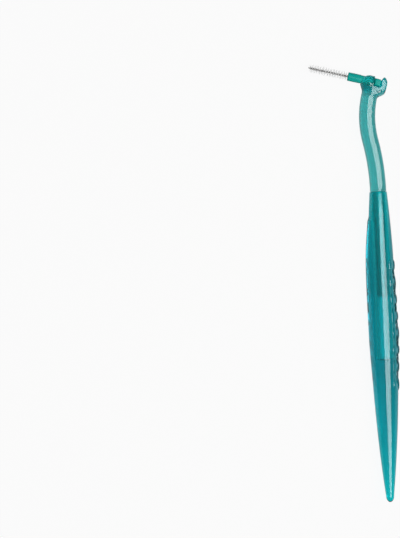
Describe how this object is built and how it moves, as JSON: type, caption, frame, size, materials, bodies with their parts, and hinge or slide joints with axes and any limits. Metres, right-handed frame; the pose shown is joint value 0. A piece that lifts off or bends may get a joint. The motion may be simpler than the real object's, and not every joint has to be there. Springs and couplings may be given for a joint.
{
  "type": "interdental brush",
  "caption": "Interdental brush: long spindle handle with thumb pad and raised droplets, bent round neck, and a twisted-wire bristle brush clicked crosswise into the head.",
  "frame": {"origin": "on the handle's axis, at its widest place", "axes": "+Y along the handle towards the head, -X the way the brush points, +Z square to the plane of the bends; the brush lies on its side"},
  "size_m": [0.0211, 0.1145, 0.0078],
  "materials": {
    "handle_plastic": "gloss, translucent",
    "neck_plastic": "gloss, translucent",
    "shaft_plastic": "satin",
    "wire_steel": "drawn",
    "bristle_nylon": "matte"
  },
  "bodies": {
    "holder": {"handle": "handle_plastic", "neck": "neck_plastic"},
    "brush": {"brush_shaft": "shaft_plastic", "core_wire": "wire_steel", "bristles": "bristle_nylon"}
  },
  "joints": [
    {"name": "brush_release", "type": "slide", "parent": "holder", "child": "brush", "axis": [0.2521, 0.9677, 0], "range_m": [0, 0.006]}
  ]
}
